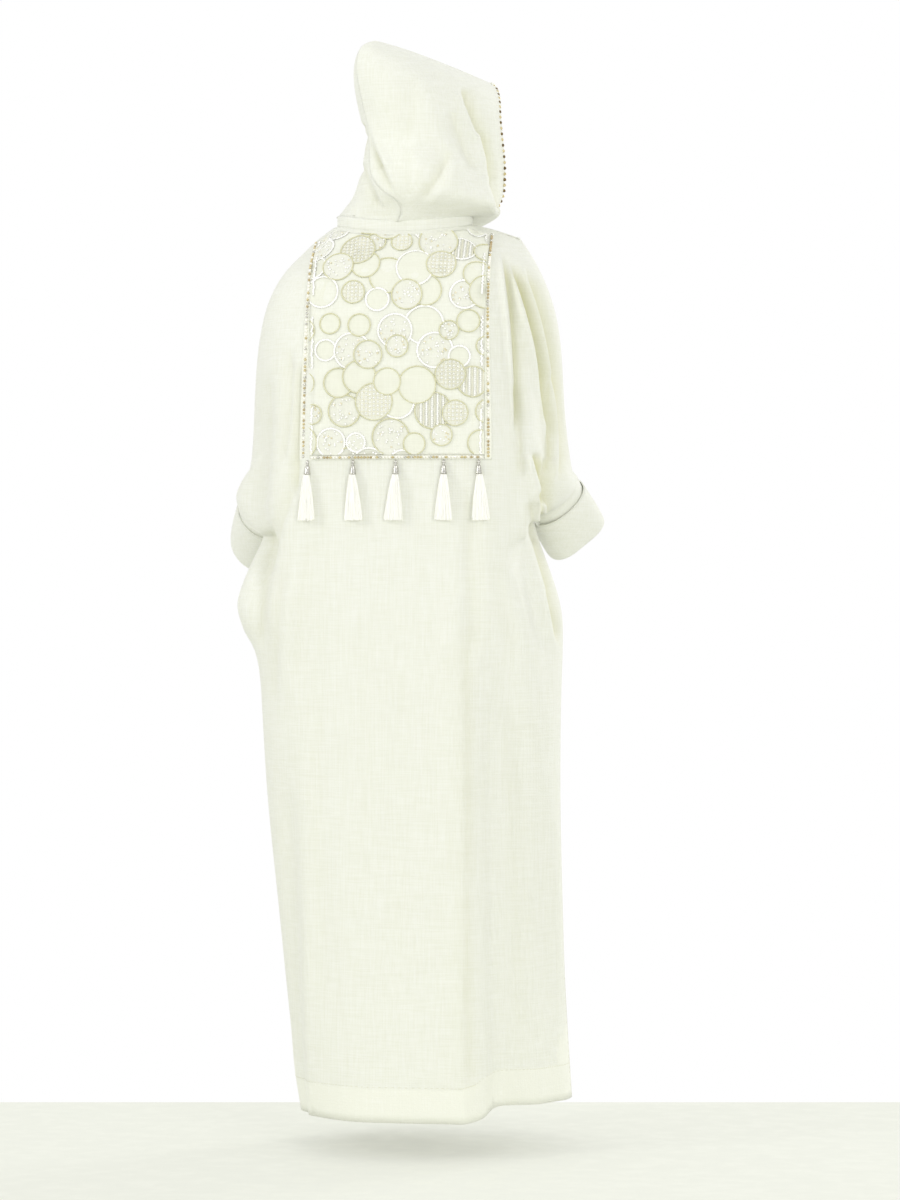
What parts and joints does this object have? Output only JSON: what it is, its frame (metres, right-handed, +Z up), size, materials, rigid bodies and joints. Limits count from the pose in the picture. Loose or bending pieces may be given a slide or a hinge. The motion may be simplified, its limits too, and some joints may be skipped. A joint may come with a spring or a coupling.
{
  "type": "hooded maxi kaftan",
  "caption": "Full-length hooded kaftan as worn, with wide wing sleeves, turned-back cuffs, side slits and a beaded, tasselled yoke on the back.",
  "frame": {"origin": "midway between the shoulders at the height of the back neckline, where the wearer carries the garment", "axes": "+Z up along the length, -Y where the wearer faces, +X to the wearer's left"},
  "size_m": [0.6565, 0.4031, 1.7961],
  "materials": {
    "cloth": "slubby cotton crepe, matt, slightly sheer",
    "yoke": "embroidered and sequinned cloth",
    "beads": "gold and silver glass beads on a narrow tape",
    "silver": "polished pressed metal",
    "silk": "glossy artificial silk threads"
  },
  "bodies": {
    "root": {"back": "cloth", "front": "cloth", "cuff_left": "cloth", "cuff_right": "cloth", "neck_band": "cloth", "hood_left": "cloth", "hood_right": "cloth", "nape_tab": "cloth", "yoke": "yoke", "tape_left": "beads", "tape_right": "beads", "tape_bottom": "beads", "tape_hood": "beads", "cap_1": "silver", "cap_2": "silver", "cap_3": "silver", "cap_4": "silver", "cap_5": "silver", "tassel_1": "silk", "tassel_2": "silk", "tassel_3": "silk", "tassel_4": "silk", "tassel_5": "silk"}
  },
  "joints": []
}
